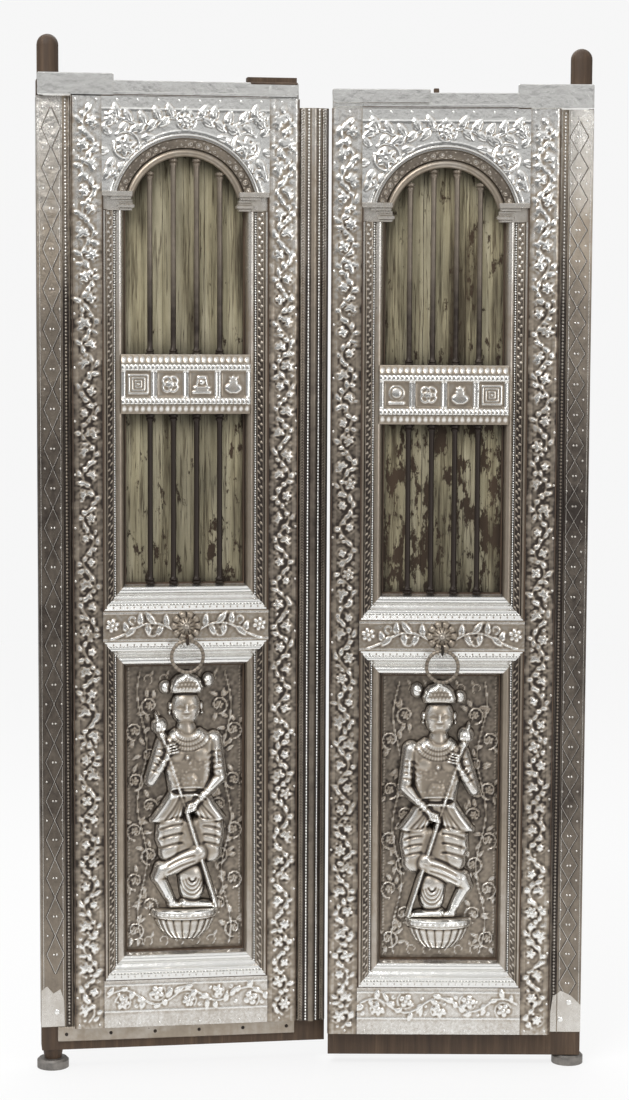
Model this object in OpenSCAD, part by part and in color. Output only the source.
// Pair of silver-clad temple door leaves on wooden pivot pins.
// Frame: the origin is on the left pivot axis at floor level, +X to the right leaf,
// +Y away from the viewer, +Z up. Each leaf is drawn in its own frame and then hung:
// u runs from the hinge edge of the raised frame to the meeting edge, y = 0 is the front
// of the timber core with the viewer at -y, and z = 0 is the bare wooden foot.

/* [Leaf] */
// Width of the raised frame of a leaf
frame_w = 420; // [400:1:440]
// Width of the pivot post beside the raised frame
post_w = 62; // [56:1:70]
// Thickness of the timber core
core_t = 45; // [40:1:52]
// Thickness of the raised timber in front of the core
raise_t = 20; // [17:1:24]
// Thickness of the silver sheet
sheet_t = 1.2; // [0.8:0.1:2]
// Height of the bare wooden foot under the silver
foot_h = 45; // [30:1:60]
// Height of the bottom rail
bottom_rail_h = 90; // [80:1:100]
// Clear height of the figure panel
panel_h = 545; // [530:1:580]
// Height of the lock rail's face
lock_rail_h = 58; // [58:1:66]
// Clear height of the lower barred window
lower_window_h = 317; // [280:1:340]
// Height of the transom between the windows
transom_h = 110; // [96:1:124]
// Height of the upper window from the transom to the springing of its arch
upper_window_h = 264; // [220:1:300]
// Height of the head from the springing to the top of the raised frame
head_h = 206; // [200:1:230]
// Height of the ledge along the top
ledge_h = 30; // [24:1:36]
// Length of the end block on the ledge of the left leaf
left_strip_w = 90; // [60:1:120]
// Length of the thick strip on the ledge of the right leaf
right_strip_w = 180; // [140:1:220]

/* [Mouldings] */
// Width of the carved face of a stile
stile_face_w = 58; // [54:1:62]
// Width of the upright mouldings
moulding_w = 42; // [40:1:46]
// Width of the level mouldings
rail_moulding_h = 50; // [46:1:56]
// Radius of the roll beside each opening
roll_r = 7; // [6:0.5:8]
// Depth of the moulding seat behind the core's front
seat_y = 6; // [4:0.5:8]

/* [Bars] */
// Radius of a window bar
bar_r = 5; // [4:0.25:6]
// Distance from the side of a window to the middle of its first bar
bar_edge = 45; // [38:1:50]

/* [Carving] */
// Length of one half wave of the carved vine
vine_step = 41; // [36:1:48]
// Height of the carved flowers above the sheet
relief_h = 3.6; // [2.5:0.1:5]
// Length of one diamond on the left pivot post
left_diamond = 73.5; // [60:0.5:90]
// Length of one diamond on the right pivot post
right_diamond = 57; // [50:0.5:70]

/* [Figure panel] */
// Height of the guard from the soles to the crown
figure_h = 458; // [430:1:464]
// Width of the lotus pedestal
pedestal_w = 130; // [116:1:140]
// Height of the lotus pedestal
pedestal_h = 59; // [50:1:64]

/* [Pull ring] */
// Radius of the ring to the middle of its wire
ring_r = 29.5; // [26:0.5:33]
// Radius of the ring's wire
ring_wire_r = 3.5; // [3:0.25:4]
// Distance from the sheet to the ring in front of it
ring_stand = 23; // [21:0.5:26]

/* [Hanging] */
// Radius of the pivot pins
pin_r = 20; // [18:0.5:22]
// Length of the upper pivot pin
upper_pin_h = 84; // [70:1:100]
// Radius of the lower pivot pin where it turns in its socket
step_r = 15; // [13:0.5:16]
// Radial play between a lower pin and its socket
pivot_play = 0.05; // [0.02:0.01:0.09]
// Height of a floor socket
socket_h = 18; // [16:1:22]
// Room between a floor socket and the foot of the right leaf
foot_clear = 2; // [1:0.5:8]
// How much higher the left leaf stands than the right one
left_lift = 18; // [0:1:30]
// Angle by which the left leaf stands open
left_ajar = 6; // [0:0.5:10]
// Angle by which the right leaf stands open
right_ajar = 2.5; // [0:0.5:10]
// Width of the cover strip at the meeting edge of the left leaf
cover_w = 58; // [50:1:64]
// Gap between the leaves when both are shut
meeting_gap = 1.5; // [1:0.1:4]

/* [Hidden] */
$fn = 48;
FIGURE_FN = 12;
SILVER = [0.74, 0.72, 0.67];
TARNISH = [0.44, 0.40, 0.35];
TIMBER = [0.25, 0.17, 0.11];
PAINT = [0.56, 0.54, 0.42];
IRON = [0.22, 0.21, 0.20];
CLEAR = 0.3;
MITRE = 0.1;

// Levels, from the wooden foot up
panel_sill_z = foot_h + bottom_rail_h;
panel_z = panel_sill_z + rail_moulding_h;
panel_top_z = panel_z + panel_h;
lock_z = panel_top_z + rail_moulding_h;
lock_top_z = lock_z + lock_rail_h;
window_z = lock_top_z + rail_moulding_h;
transom_z = window_z + lower_window_h;
transom_top_z = transom_z + transom_h;
spring_z = transom_top_z + upper_window_h;
frame_top_z = spring_z + head_h;
top_z = frame_top_z + ledge_h;
cover_top_z = frame_top_z - 15;

// Places across the leaf
inner_u = stile_face_w + moulding_w;
opening_w = frame_w - 2 * inner_u;
mid_u = frame_w / 2;
bar_count = 4;
bar_pitch = (opening_w - 2 * bar_edge) / (bar_count - 1);

// Depths
face_y = -raise_t - sheet_t;
rebate = 8;
board_t = 14;
board_y = 20;
panel_sheet_y = board_y - sheet_t;
moulding_lip = 2;
roll_y = -2;
bar_y = 2;
transom_seat_y = roll_y - roll_r - CLEAR;
transom_face_y = face_y - 1;
stem_r = 1.7;

// Arch
arch_in_r = opening_w / 2 - 11;
arch_out_r = opening_w / 2 + 30;
impost_angle = 14;
impost_h = arch_out_r * sin(impost_angle);

// Pivots
pin_inset = 1.5;
pivot_u = -post_w + pin_r + pin_inset;
pivot_y = core_t / 2;
right_foot_z = socket_h + foot_clear;
left_foot_z = right_foot_z + left_lift;
socket_floor = 4;
socket_r = 30;
bevel = 7;
cover_lip = 4;
left_reach = norm([frame_w + cover_w - pivot_u, pivot_y + cover_lip]);
right_reach = norm([frame_w + sheet_t - pivot_u, pivot_y - face_y]);
pivot_span = left_reach + right_reach + meeting_gap;

// Pull
ring_y = face_y - ring_stand;
ring_clear = 1.5;
staple_wire_r = 2.5;
staple_r = ring_wire_r + ring_clear + staple_wire_r;
staple_z = lock_z + 5;
ring_top_z = staple_z - ring_clear + CLEAR;
boss_r = lock_rail_h / 2 - 1;
boss_h = 18;

// Shapes used by several pieces

module block(u, y, z) {
    translate([u[0], y[0], z[0]]) cube([u[1] - u[0], y[1] - y[0], z[1] - z[0]]);
}

// A front-view outline given as [u, z] points, cut through from y0 to y1
module through(points, y0, y1) {
    translate([0, y1, 0]) rotate([90, 0, 0]) linear_extrude(height = y1 - y0) polygon(points);
}

// A cylinder that runs front to back
module drum(r, u, z, y0, y1) {
    translate([u, y1, z]) rotate([90, 0, 0]) cylinder(r = r, h = y1 - y0);
}

// Section of a moulding w wide: a fillet, a sloping carved band and a roll beside the opening
module moulding_bar(w, length) {
    fillet_w = w * 0.16;
    band_w = w * 0.52;
    linear_extrude(height = length)
        polygon([[0, seat_y], [0, moulding_lip - raise_t], [fillet_w, moulding_lip - raise_t],
            [fillet_w + 2, -raise_t + 7], [band_w, -raise_t + 14], [band_w + 2, roll_y],
            [w - 2, roll_y + 2], [w - 2, seat_y]]);
    translate([w - roll_r - 3, roll_y, 0]) cylinder(r = roll_r, h = length);
}

// Section of a sill w wide: a bevel, a small roll, a hollow slope and the roll beside the opening
module sill_bar(w, length) {
    lip_y = moulding_lip - raise_t;
    bevel_w = w * 0.2;
    small_r = roll_r * 0.65;
    linear_extrude(height = length)
        polygon([[0, seat_y], [0, lip_y], [bevel_w, lip_y + 4], [bevel_w + 1, lip_y + 7],
            [w * 0.42, lip_y + 9], [w * 0.62, roll_y - 1], [w - 2, roll_y + 2], [w - 2, seat_y]]);
    translate([bevel_w + small_r + 1, lip_y + 8, 0]) cylinder(r = small_r, h = length);
    translate([w - roll_r - 3, roll_y, 0]) cylinder(r = roll_r, h = length);
}

// An upright moulding whose outer edge is at u; turn = -1 faces it the other way
module upright(u, turn, z0, z1) {
    translate([u, 0, z0]) mirror([turn < 0 ? 1 : 0, 0, 0]) moulding_bar(moulding_w, z1 - z0);
}

// A level moulding between the stiles whose outer edge is at z; turn = -1 hangs it downwards
module level(z, turn) {
    translate([stile_face_w, 0, z]) mirror([0, 0, turn < 0 ? 1 : 0])
        multmatrix([[0, 0, 1, 0], [0, 1, 0, 0], [1, 0, 0, 0]])
            sill_bar(rail_moulding_h, frame_w - 2 * stile_face_w);
}

// Carving on a sheet: each motif is drawn flat and raised towards the viewer

module raise_flat(h) {
    translate([0, face_y + sheet_t / 2, 0]) rotate([90, 0, 0])
        linear_extrude(height = h + sheet_t / 2) children();
}

module rosette(r, petals = 5, h = relief_h) {
    points_per_petal = 3;
    steps = petals * points_per_petal;
    raise_flat(h) polygon([for (i = [0:steps - 1])
        let (a = 360 * i / steps, d = r * (0.80 + 0.20 * cos(petals * a))) [d * cos(a), d * sin(a)]]);
    translate([0, face_y - h, 0]) sphere(r = r * 0.32, $fn = 24);
}

module leaf(length, turn) {
    raise_flat(relief_h * 0.7) rotate(turn)
        polygon([[0, 0], [length * 0.3, length * 0.22], [length * 0.7, length * 0.2], [length, 0],
            [length * 0.7, -length * 0.2], [length * 0.3, -length * 0.22]]);
}

// An arc of stem round the middle, from angle a0 over da degrees; its back lies within the sheet
module stem(r, a0, da) {
    translate([0, face_y + sheet_t / 2 - stem_r, 0]) rotate([90, 0, 0]) rotate(a0)
        rotate_extrude(angle = da) translate([r, 0]) circle(r = stem_r, $fn = 16);
}

// A wavy vine that climbs along z from the middle of its lower end
module vine(length, width) {
    waves = max(2, floor(length / vine_step));
    step = length / waves;
    swing = width * 0.24;
    r = (pow(step / 2, 2) + pow(swing, 2)) / (2 * swing);
    half = asin(step / 2 / r);
    for (i = [0:waves - 1]) {
        s = i % 2 == 0 ? 1 : -1;
        translate([0, 0, step * (i + 0.5)]) {
            translate([s * (swing - r), 0, 0]) stem(r, (s > 0 ? 0 : 180) - half + 3, 2 * half - 6);
            translate([-s * swing * 0.75, 0, 0]) rosette(width * 0.24);
            translate([-s * swing * 0.2, 0, step * 0.36]) leaf(width * 0.36, s > 0 ? 160 : 20);
            translate([s * swing * 1.35, 0, -step * 0.12]) leaf(width * 0.28, s > 0 ? -40 : 220);
        }
    }
}

// Timber

module pivot_post(foot_z) {
    step_z = socket_floor + CLEAR - foot_z;
    neck_z = socket_h - foot_z + CLEAR;
    color(TIMBER) {
        block([-post_w, 0], [0, core_t], [0, top_z]);
        translate([pivot_u, pivot_y, 0]) {
            translate([0, 0, top_z]) cylinder(r = pin_r, h = upper_pin_h - pin_r);
            translate([0, 0, top_z + upper_pin_h - pin_r]) sphere(r = pin_r);
            translate([0, 0, step_z]) cylinder(r = step_r, h = -step_z);
            translate([0, 0, neck_z]) cylinder(r1 = step_r + 1, r2 = pin_r, h = -neck_z);
        }
    }
}

// A stile drawn from its outer edge: a core with the moulding seat in front and the rebate for
// the boards behind, and the raised face; margin_w is bare core outside the raised face
module stile_timber(margin_w, edge_bevel) {
    linear_extrude(height = top_z)
        polygon([[0, 0], [margin_w + stile_face_w, 0], [margin_w + stile_face_w, seat_y],
            [margin_w + inner_u, seat_y], [margin_w + inner_u, board_y],
            [margin_w + inner_u - rebate, board_y], [margin_w + inner_u - rebate, core_t],
            [edge_bevel, core_t]]);
    block([margin_w, margin_w + stile_face_w], [-raise_t, 1], [foot_h, frame_top_z]);
}

module hinge_stile() {
    color(TIMBER) stile_timber(0, 0);
}

// The meeting stile has a horn that stands above the ledge; its margin ends with the cover strip
module meeting_stile(margin_w, horn_h) {
    color(TIMBER) translate([frame_w + margin_w, 0, 0]) mirror([1, 0, 0]) {
        difference() {
            stile_timber(margin_w, bevel);
            if (margin_w > 0) block([-1, margin_w], [-1, core_t + 1], [cover_top_z, top_z + 1]);
        }
        block([margin_w, margin_w + inner_u - rebate], [core_t * 0.3, core_t * 0.9],
            [top_z - 1, top_z + horn_h]);
    }
}

// A rail between the stiles: raised face, tongue behind the mouldings and rebated back
module rail_timber(face_z, core_z, low_rebate, high_rebate) {
    block([stile_face_w, frame_w - stile_face_w], [-raise_t, seat_y], face_z);
    block([inner_u, frame_w - inner_u], [seat_y, board_y], core_z);
    block([inner_u - rebate, frame_w - inner_u + rebate], [board_y, core_t],
        [core_z[0] + low_rebate, core_z[1] - high_rebate]);
}

board_top_z = frame_top_z - 80;

module top_rail() {
    color(TIMBER) {
        difference() {
            union() {
                block([stile_face_w, frame_w - stile_face_w], [-raise_t, seat_y],
                    [spring_z + impost_h, frame_top_z]);
                block([inner_u, frame_w - inner_u], [seat_y, board_y], [spring_z, frame_top_z]);
            }
            drum(arch_out_r + CLEAR, mid_u, spring_z, -raise_t - 1, seat_y);
            drum(opening_w / 2, mid_u, spring_z, seat_y - 1, board_y + 1);
        }
        block([inner_u - rebate, frame_w - inner_u + rebate], [board_y, core_t], [board_top_z, top_z]);
        block([stile_face_w, frame_w - stile_face_w], [0, seat_y], [frame_top_z, top_z]);
        block([inner_u, frame_w - inner_u], [seat_y, board_y], [frame_top_z, top_z]);
    }
}

module lock_rail() {
    color(TIMBER) rail_timber([lock_z, lock_top_z], [panel_top_z, window_z], rebate, rebate);
}

module bottom_rail() {
    color(TIMBER) {
        rail_timber([foot_h, panel_sill_z], [0, panel_z], 0, rebate);
        block([stile_face_w, frame_w - stile_face_w], [0, seat_y], [0, foot_h]);
    }
}

module window_boards() {
    planks = 3;
    plank_gap = 0.6;
    plank_w = (opening_w + 2 * rebate) / planks;
    color(PAINT) for (i = [0:planks - 1])
        translate([inner_u - rebate + i * plank_w, 0, 0])
            block([0, plank_w - plank_gap], [board_y, board_y + board_t], [window_z - rebate, board_top_z]);
}

module panel_board() {
    color(TIMBER) block([inner_u - rebate, frame_w - inner_u + rebate], [board_y, board_y + board_t],
        [panel_z - rebate, panel_top_z + rebate]);
}

// Silver sheets

module vine_sheet(turned) {
    color(SILVER) translate([turned ? frame_w : 0, 0, 0]) mirror([turned ? 1 : 0, 0, 0]) {
        block([0, stile_face_w], [face_y, -raise_t], [foot_h, frame_top_z]);
        block([-sheet_t, 0], [face_y, -sheet_t], [foot_h, frame_top_z]);
        translate([stile_face_w / 2, 0, foot_h + 10]) vine(frame_top_z - foot_h - 40, stile_face_w * 0.86);
    }
}

module head_sheet() {
    spray = 16;
    color(SILVER) difference() {
        union() {
            block([stile_face_w, frame_w - stile_face_w], [face_y, -raise_t],
                [spring_z + impost_h, frame_top_z]);
            translate([mid_u, 0, frame_top_z - 40]) rosette(13);
            for (s = [-1, 1]) {
                corner_u = mid_u + s * (frame_w / 2 - stile_face_w - 30);
                translate([corner_u, 0, spring_z + 116]) {
                    rosette(spray, 6);
                    for (i = [0:4]) rotate([0, -s * (i * 55 - 20), 0])
                        translate([spray + 3, 0, 0]) leaf(spray, 0);
                }
                for (i = [0:2]) translate([mid_u + s * (30 + i * 26), 0, frame_top_z - 38 - i * 5]) {
                    leaf(20, s > 0 ? 30 : 150);
                    translate([0, 0, -6]) leaf(16, s > 0 ? -50 : 230);
                }
            }
        }
        drum(arch_out_r + CLEAR, mid_u, spring_z, face_y - relief_h - 10, 0);
    }
}

// Half of a scroll that springs from the middle of a rail
module rail_scroll(reach, h) {
    r = h * 0.34;
    translate([reach * 0.36, 0, 0]) {
        translate([0, 0, -r * 0.4]) stem(r, 20, 140);
        translate([0, 0, -r * 0.5]) rosette(h * 0.2);
    }
    translate([reach * 0.36 + 2 * r + 3, 0, 0]) {
        translate([0, 0, r * 0.4]) stem(r, 200, 140);
        translate([0, 0, r * 0.5]) rosette(h * 0.2, 6);
    }
    for (i = [0:1]) translate([reach * (0.66 + 0.18 * i), 0, 0]) {
        leaf(h * 0.32, 60);
        translate([2, 0, -3]) leaf(h * 0.3, -60);
    }
}

module lock_rail_sheet() {
    half_w = mid_u - stile_face_w;
    color(SILVER) {
        block([stile_face_w, frame_w - stile_face_w], [face_y, -raise_t], [lock_z, lock_top_z]);
        for (s = [0, 1]) translate([mid_u, 0, (lock_z + lock_top_z) / 2]) mirror([s, 0, 0])
            rail_scroll(half_w, lock_rail_h);
    }
}

module bottom_rail_sheet() {
    half_w = mid_u - stile_face_w;
    color(SILVER) {
        block([stile_face_w, frame_w - stile_face_w], [face_y, -raise_t], [foot_h, panel_sill_z]);
        for (s = [0, 1]) translate([mid_u, 0, foot_h + bottom_rail_h * 0.62]) mirror([s, 0, 0])
            rail_scroll(half_w, bottom_rail_h * 0.56);
    }
}

// Sheet on the pivot post with a chain of engraved diamonds
module post_sheet(diamond) {
    plain = 20;
    diamond_w = post_w * 0.5;
    chain_u = -post_w * 0.55;
    chain_h = frame_top_z - foot_h - 2 * plain - 40;
    count = floor(chain_h / diamond);
    cut_w = 1.2;
    slope = atan2(diamond_w, diamond);
    length = norm([diamond_w, diamond]) - 3;
    color(TARNISH) difference() {
        block([-post_w, -sheet_t], [-sheet_t, 0], [foot_h, frame_top_z]);
        for (i = [0:count - 1], s = [-1, 1])
            translate([chain_u, -sheet_t, foot_h + plain + 40 + diamond * (i + 0.5)])
                rotate([0, s * slope, 0]) cube([cut_w, sheet_t, length], center = true);
    }
}

module panel_sheet() {
    color(TARNISH) block([inner_u, frame_w - inner_u], [panel_sheet_y, board_y], [panel_z, panel_top_z]);
}

// Ledge along the top, with a taller block at the hinge end and a thicker strip at the other
module head_ledge(block_h, strip_w, strip_h) {
    ledge_u = 10 - post_w;
    block_w = 130;
    color(SILVER) {
        block([ledge_u, frame_w], [-12, 0], [frame_top_z, top_z]);
        block([ledge_u, ledge_u + block_w], [-16, 0], [frame_top_z, top_z + block_h]);
        block([frame_w - strip_w, frame_w], [-15, 0], [frame_top_z, top_z + strip_h]);
    }
}

// Mouldings

module arch_moulding() {
    depth = seat_y + raise_t;
    color(SILVER) {
        translate([mid_u, seat_y, spring_z]) rotate([90, 0, 0]) rotate(impost_angle)
            rotate_extrude(angle = 180 - 2 * impost_angle) {
                polygon([[arch_in_r + 2, 0], [arch_out_r, 0], [arch_out_r, depth + 2],
                    [arch_out_r - 7, depth + 2], [arch_out_r - 9, depth - 5], [arch_in_r + 14, depth - 11],
                    [arch_in_r + 2, depth - 13]]);
                translate([arch_in_r + roll_r, depth - 13]) circle(r = roll_r);
            }
        for (s = [-1, 1]) translate([mid_u, 0, spring_z]) mirror([s < 0 ? 1 : 0, 0, 0]) impost();
    }
}

// Stepped corbel under the foot of the arch, drawn from the middle of the opening
module impost() {
    low_u = arch_in_r - 1;
    mid_w = opening_w / 2 + 12;
    outer_w = opening_w / 2 + moulding_w;
    far = 2 * outer_w;
    difference() {
        union() {
            block([low_u, mid_w], [-raise_t + 6, seat_y], [0, impost_h * 0.75]);
            block([low_u - 3, mid_w + 3], [-raise_t + 3, seat_y], [impost_h * 0.12, impost_h * 0.32]);
            block([mid_w, outer_w], [-raise_t + 6, seat_y], [0, impost_h * 0.5]);
            block([mid_w - 8, outer_w], [-raise_t, seat_y], [impost_h * 0.5, impost_h]);
            block([mid_w - 2, outer_w], [face_y - 3, seat_y], [impost_h * 0.72, impost_h]);
        }
        intersection() {
            drum(arch_out_r + CLEAR, 0, 0, face_y - 10, seat_y + 1);
            through([[0, -MITRE], [far * cos(impost_angle), far * sin(impost_angle) - MITRE],
                [far, far], [0, far]], face_y - 10, seat_y + 1);
        }
    }
}

// Uprights beside both windows and the sill under them, mitred at the lower corners
module window_mouldings() {
    top = spring_z - CLEAR;
    deep = [face_y - 5, seat_y + 1];
    low = [[stile_face_w, lock_top_z + MITRE], [inner_u, window_z + MITRE],
        [inner_u, top], [stile_face_w, top]];
    color(TARNISH) for (s = [0, 1]) translate([s * frame_w, 0, 0]) mirror([s, 0, 0])
        intersection() {
            upright(stile_face_w, 1, lock_top_z, top);
            through(low, deep[0], deep[1]);
        }
    color(SILVER) intersection() {
        level(lock_top_z, 1);
        through([[stile_face_w, lock_top_z], [frame_w - stile_face_w, lock_top_z],
            [frame_w - inner_u, window_z], [inner_u, window_z]], deep[0], deep[1]);
    }
}

// Four mouldings round the figure panel, mitred at every corner
module panel_mouldings() {
    deep = [face_y - 5, seat_y + 1];
    side = [[stile_face_w, panel_sill_z + MITRE], [inner_u, panel_z + MITRE],
        [inner_u, panel_top_z - MITRE], [stile_face_w, lock_z - MITRE]];
    color(TARNISH) for (s = [0, 1]) translate([s * frame_w, 0, 0]) mirror([s, 0, 0])
        intersection() {
            upright(stile_face_w, 1, panel_sill_z, lock_z);
            through(side, deep[0], deep[1]);
        }
    color(SILVER) for (at = [[panel_sill_z, panel_z, 1], [lock_z, panel_top_z, -1]]) intersection() {
        level(at[0], at[2]);
        through([[stile_face_w, at[0]], [frame_w - stile_face_w, at[0]],
            [frame_w - inner_u, at[1]], [inner_u, at[1]]], deep[0], deep[1]);
    }
}

// Band between the windows: sloped top and bottom, and four framed squares
module transom() {
    half_w = opening_w / 2 + 10;
    slope_h = transom_h * 0.15;
    fret_h = transom_h * 0.12;
    square_count = 4;
    square_w = transom_h * 0.42;
    square_pitch = 2 * half_w / square_count - 1;
    rim = 4;
    mid_z = (transom_z + transom_top_z) / 2;
    color(SILVER) {
        block([inner_u, frame_w - inner_u], [transom_seat_y, board_y], [transom_z, transom_top_z]);
        difference() {
            translate([mid_u - half_w, 0, 0]) multmatrix([[0, 0, 1, 0], [1, 0, 0, 0], [0, 1, 0, 0]])
                linear_extrude(height = 2 * half_w)
                    polygon([[transom_seat_y + 0.01, transom_z], [transom_seat_y + 0.01, transom_top_z],
                        [transom_seat_y - 2, transom_top_z], [transom_face_y, transom_top_z - slope_h],
                        [transom_face_y - 3, transom_top_z - slope_h - fret_h],
                        [transom_face_y, transom_top_z - slope_h - fret_h - 2],
                        [transom_face_y, transom_z + slope_h + fret_h + 2],
                        [transom_face_y - 3, transom_z + slope_h + fret_h],
                        [transom_face_y, transom_z + slope_h], [transom_seat_y - 2, transom_z]]);
            for (i = [0:square_count - 1])
                translate([mid_u + (i - (square_count - 1) / 2) * square_pitch, transom_face_y, mid_z])
                    cube([square_w, 2 * rim, square_w], center = true);
        }
        for (i = [0:square_count - 1])
            translate([mid_u + (i - (square_count - 1) / 2) * square_pitch, transom_face_y + rim, mid_z])
                rotate([90, 0, 0]) {
                    cylinder(r = square_w * 0.3, h = 2);
                    rotate(45 * (i % 2)) for (a = [0:90:270]) rotate(a)
                        translate([square_w * 0.22, 0, 0]) cylinder(r = square_w * 0.14, h = 3);
                }
    }
}

// A round bar with a turned base and cap
module bar(z0, z1) {
    foot = 9;
    collar_r = bar_r + 3.5;
    cap_z = z1 - z0 - foot - 6;
    translate([0, bar_y, z0]) {
        cylinder(r = bar_r, h = z1 - z0);
        for (z = [0, cap_z]) translate([0, 0, z]) {
            cylinder(r = collar_r, h = foot * 0.4);
            translate([0, 0, foot * 0.4]) cylinder(r = bar_r + 1.5, h = foot * 0.6);
        }
    }
}

function bar_offset(i) = (i - (bar_count - 1) / 2) * bar_pitch;

// The bars under the arch end just short of its inner face
module upper_bars() {
    reach = arch_in_r + 2 - CLEAR;
    color(TARNISH) for (i = [0:bar_count - 1])
        translate([mid_u + bar_offset(i), 0, 0])
            bar(transom_top_z, spring_z + sqrt(pow(reach, 2) - pow(abs(bar_offset(i)) + bar_r, 2)));
}

module lower_bars() {
    color(TARNISH) for (i = [0:bar_count - 1])
        translate([mid_u + bar_offset(i), 0, 0]) bar(window_z, transom_z);
}

// Figure panel

// A rounded limb from a to b
module limb(a, b, ra, rb) {
    hull() {
        translate(a) sphere(r = ra, $fn = FIGURE_FN);
        translate(b) sphere(r = rb, $fn = FIGURE_FN);
    }
}

pedestal_z = panel_z + 20;
figure_foot_z = pedestal_z + pedestal_h;

// The guard is drawn about the middle of the panel with the soles at z = 0 and the panel at y = 0

module guard_head() {
    limb([2, -10, 392], [2, -12, 372], 27, 24);
    limb([3, -8, 420], [3, -8, 434], 30, 14);
    limb([3, -8, 440], [3, -8, 446], 7, 5);
    for (bun = [[-36, 419], [44, 430]])
        limb([bun[0], -6, bun[1] + 3], [bun[0], -6, bun[1] - 3], 12, 13);
    for (s = [-1, 1]) limb([2 + s * 27, -5, 378], [2 + s * 28, -5, 366], 5, 6);
    limb([2, -8, 352], [3, -9, 338], 14, 17);
}

// Jacket with a spreading collar, a belt and two skirts
module guard_jacket() {
    translate([4, 0, 330]) rotate([90, 0, 0]) cylinder(r1 = 48, r2 = 20, h = 26, $fn = 2 * FIGURE_FN);
    scale([1, 0.62, 1]) {
        limb([-18, -10, 302], [28, -10, 302], 31, 31);
        limb([4, -10, 286], [6, -10, 236], 38, 28);
        translate([6, -10, 218]) cylinder(r = 31, h = 14, $fn = 2 * FIGURE_FN);
        for (s = [-1, 1]) hull() {
            limb([6 + s * 6, -12, 212], [6 + s * 18, -10, 212], 17, 15);
            limb([6 + s * 16, -16, 182], [6 + s * 52, -10, 178], 15, 12);
        }
    }
}

// Baggy trousers; one leg stands and the other crosses in front of it
module guard_legs() {
    limb([-18, -6, 160], [-22, -6, 108], 29, 21);
    limb([32, -6, 160], [44, -6, 106], 28, 20);
    limb([4, -6, 148], [20, -6, 120], 26, 25);
    limb([13, -8, 66], [13, -8, 36], 25, 22);
    limb([2, -8, 9], [50, -8, 7], 9, 6.5);
    limb([20, -12, 104], [-38, -13, 74], 19, 16);
    limb([-42, -12, 72], [-50, -11, 60], 14, 12);
    limb([-48, -11, 62], [-26, -8, 14], 13, 9);
    limb([-26, -8, 9], [-10, -7, 6], 8.5, 6);
}

module guard_arms() {
    limb([-36, -7, 316], [-62, -8, 248], 15, 12);
    limb([-63, -9, 244], [-34, -20, 292], 12, 8.5);
    limb([-33, -22, 293], [-29, -22, 306], 9, 8);
    limb([50, -7, 320], [63, -10, 258], 15, 13);
    limb([63, -10, 254], [20, -22, 204], 13, 9);
    limb([19, -24, 203], [12, -25, 194], 9.5, 8.5);
}

module guard_mace() {
    limb([-49, -15, 352], [-48, -15, 344], 14, 15);
    limb([-53, -13, 364], [-54, -13, 371], 5, 3.5);
    limb([-44, -16, 331], [-43, -16, 328], 8, 8);
    limb([-42, -20, 330], [58, -16, 8], 5.6, 4.8);
}

// Guard with a mace, in half relief
module guard_figure() {
    drawn_h = 451;
    color(SILVER) intersection() {
        block([inner_u, frame_w - inner_u], [face_y - 40, panel_sheet_y], [figure_foot_z, panel_top_z]);
        translate([mid_u, panel_sheet_y, figure_foot_z]) scale(figure_h / drawn_h) {
            guard_head();
            guard_jacket();
            guard_legs();
            guard_arms();
            guard_mace();
        }
    }
}

// Fluted bowl under the figure: a turned bowl whose axis lies behind the panel
module lotus_pedestal() {
    set_back = 24;
    rim_h = 15;
    flutes = 18;
    rim_r = norm([pedestal_w / 2, set_back]);
    bowl_h = pedestal_h - rim_h;
    flute_r = rim_r * 0.09;
    color(SILVER) intersection() {
        block([inner_u, frame_w - inner_u], [face_y - 40, panel_sheet_y], [pedestal_z, figure_foot_z]);
        translate([mid_u, panel_sheet_y + set_back, pedestal_z]) difference() {
            rotate_extrude()
                polygon([[0, 0], [rim_r * 0.40, 0], [rim_r * 0.62, bowl_h * 0.22],
                    [rim_r * 0.80, bowl_h * 0.55], [rim_r * 0.90, bowl_h], [rim_r, bowl_h + 2],
                    [rim_r, pedestal_h - 4], [rim_r - 4, pedestal_h], [0, pedestal_h]]);
            for (i = [0:flutes - 1]) rotate(180 + (i + 0.5) * 180 / flutes)
                translate([rim_r * 0.50, 0, 0]) rotate([0, 38, 0]) translate([0, 0, 4])
                    cylinder(r = flute_r * 0.5, h = bowl_h * 1.1);
        }
    }
}

// Pull ring, its staple and the rosette behind it

module boss() {
    petals = 10;
    boss_z = (lock_z + lock_top_z) / 2;
    color(SILVER) translate([mid_u, face_y, boss_z]) rotate([90, 0, 0]) difference() {
        union() {
            rotate_extrude()
                polygon([[0, 0], [boss_r, 0], [boss_r, 3], [boss_r * 0.72, 6], [boss_r * 0.62, boss_h * 0.7],
                    [boss_r * 0.36, boss_h], [0, boss_h]]);
            for (i = [0:petals - 1]) rotate(360 * i / petals)
                translate([boss_r * 0.80, 0, 0]) cylinder(r1 = 6.5, r2 = 4, h = 7);
        }
        translate([0, staple_z - boss_z, -1]) cylinder(r = staple_wire_r + CLEAR, h = 2 * boss_h);
    }
}

module ring_staple() {
    color(TARNISH) translate([mid_u, 0, staple_z]) {
        translate([0, ring_y, 0]) rotate([0, 90, 0])
            rotate_extrude() translate([staple_r, 0]) circle(r = staple_wire_r, $fn = 24);
        translate([0, face_y, 0]) rotate([90, 0, 0])
            cylinder(r = staple_wire_r, h = face_y - ring_y - staple_r);
    }
}

module pull_ring() {
    color(SILVER) translate([mid_u, ring_y, ring_top_z - ring_r]) rotate([90, 0, 0])
        rotate_extrude() translate([ring_r, 0]) circle(r = ring_wire_r, $fn = 24);
}

// Pieces of the left leaf alone

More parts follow.
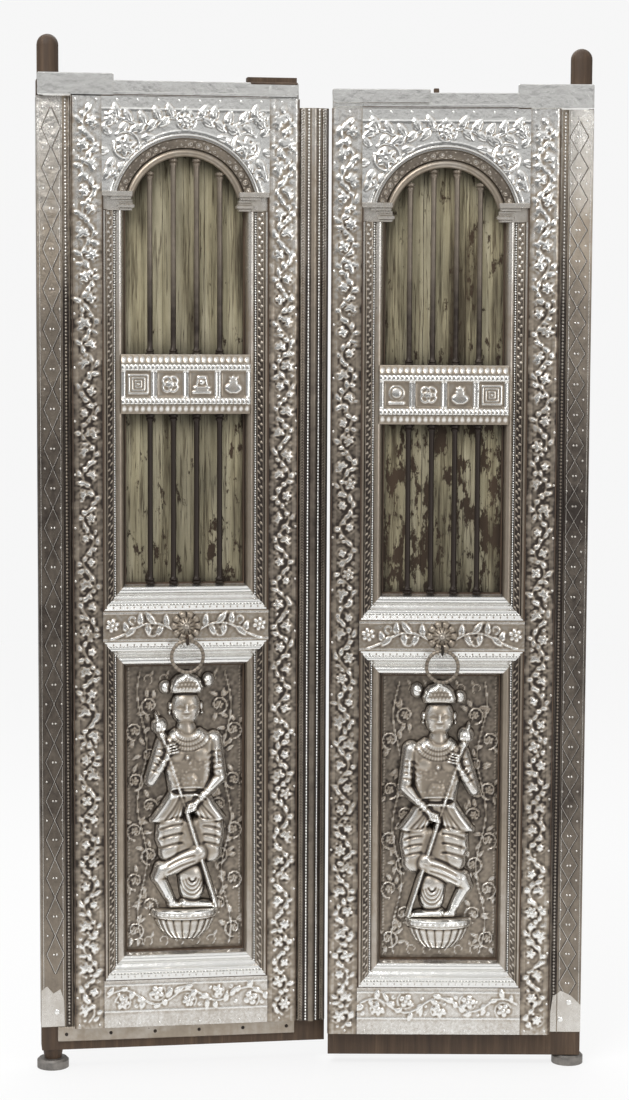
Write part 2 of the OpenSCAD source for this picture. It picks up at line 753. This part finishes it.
// Bowed strip that covers the joint between the leaves
module cover_strip() {
    bow = 14;
    r = (pow(cover_w / 2, 2) + pow(bow, 2)) / (2 * bow);
    // Distance of each rib from the middle, and its radius
    ribs = [[0, 6.5], [cover_w * 0.17, 3], [cover_w * 0.35, 4.5]];
    color(SILVER) translate([frame_w + cover_w / 2, 0, foot_h - 3])
        linear_extrude(height = cover_top_z - foot_h + 3) {
            intersection() {
                translate([0, r - bow - cover_lip]) circle(r = r, $fn = 96);
                translate([-cover_w / 2 + sheet_t, -bow - cover_lip])
                    square([cover_w - sheet_t, bow + cover_lip]);
            }
            for (rib = ribs, s = rib[0] > 0 ? [-1, 1] : [1]) {
                rib_y = bow - r + sqrt(pow(r, 2) - pow(rib[0], 2)) - rib[1] / 2;
                translate([s * rib[0], -rib_y - cover_lip]) circle(r = rib[1], $fn = 24);
            }
        }
}

module foot_strip() {
    strip_h = 28;
    color(SILVER) block([-post_w + 30, frame_w], [-6, 0], [foot_h - strip_h, foot_h]);
}

// Floor socket that a lower pivot pin turns in
module pivot_socket() {
    color(IRON) difference() {
        union() {
            cylinder(r = socket_r, h = socket_h - 4);
            translate([0, 0, socket_h - 4]) cylinder(r1 = socket_r, r2 = socket_r - 4, h = 4);
        }
        translate([0, 0, socket_floor]) cylinder(r = step_r + pivot_play, h = socket_h);
    }
}

// Hanging

module hang_left() {
    rotate([0, 0, left_ajar]) translate([-pivot_u, -pivot_y, left_foot_z]) children();
}

module hang_right() {
    translate([pivot_span, 0, 0]) rotate([0, 0, -right_ajar]) mirror([1, 0, 0])
        translate([-pivot_u, -pivot_y, right_foot_z]) children();
}

pivot_socket();  // left_pivot_socket
translate([pivot_span, 0, 0]) pivot_socket();  // right_pivot_socket
hang_left() pivot_post(left_foot_z);  // left_pivot_post
hang_left() hinge_stile();  // left_hinge_stile
hang_left() meeting_stile(cover_w, 12);  // left_meeting_stile
hang_left() top_rail();  // left_top_rail
hang_left() lock_rail();  // left_lock_rail
hang_left() bottom_rail();  // left_bottom_rail
hang_left() post_sheet(left_diamond);  // left_post_sheet
hang_left() vine_sheet(false);  // left_hinge_vine_sheet
hang_left() vine_sheet(true);  // left_meeting_vine_sheet
hang_left() head_sheet();  // left_head_sheet
hang_left() lock_rail_sheet();  // left_lock_rail_sheet
hang_left() bottom_rail_sheet();  // left_bottom_rail_sheet
hang_left() head_ledge(12, left_strip_w, 0);  // left_head_ledge
hang_left() arch_moulding();  // left_arch_moulding
hang_left() window_mouldings();  // left_window_mouldings
hang_left() panel_mouldings();  // left_panel_mouldings
hang_left() transom();  // left_transom
hang_left() upper_bars();  // left_upper_bars
hang_left() lower_bars();  // left_lower_bars
hang_left() window_boards();  // left_window_boards
hang_left() panel_board();  // left_panel_board
hang_left() panel_sheet();  // left_panel_sheet
hang_left() guard_figure();  // left_guard_figure
hang_left() lotus_pedestal();  // left_lotus_pedestal
hang_left() boss();  // left_boss
hang_left() ring_staple();  // left_ring_staple
hang_left() pull_ring();  // left_pull_ring
hang_right() pivot_post(right_foot_z);  // right_pivot_post
hang_right() hinge_stile();  // right_hinge_stile
hang_right() meeting_stile(0, 6);  // right_meeting_stile
hang_right() top_rail();  // right_top_rail
hang_right() lock_rail();  // right_lock_rail
hang_right() bottom_rail();  // right_bottom_rail
hang_right() post_sheet(right_diamond);  // right_post_sheet
hang_right() vine_sheet(false);  // right_hinge_vine_sheet
hang_right() vine_sheet(true);  // right_meeting_vine_sheet
hang_right() head_sheet();  // right_head_sheet
hang_right() lock_rail_sheet();  // right_lock_rail_sheet
hang_right() bottom_rail_sheet();  // right_bottom_rail_sheet
hang_right() head_ledge(16, right_strip_w, 6);  // right_head_ledge
hang_right() arch_moulding();  // right_arch_moulding
hang_right() window_mouldings();  // right_window_mouldings
hang_right() panel_mouldings();  // right_panel_mouldings
hang_right() transom();  // right_transom
hang_right() upper_bars();  // right_upper_bars
hang_right() lower_bars();  // right_lower_bars
hang_right() window_boards();  // right_window_boards
hang_right() panel_board();  // right_panel_board
hang_right() panel_sheet();  // right_panel_sheet
hang_right() guard_figure();  // right_guard_figure
hang_right() lotus_pedestal();  // right_lotus_pedestal
hang_right() boss();  // right_boss
hang_right() ring_staple();  // right_ring_staple
hang_right() pull_ring();  // right_pull_ring
hang_left() cover_strip();  // left_cover_strip
hang_left() foot_strip();  // left_foot_strip
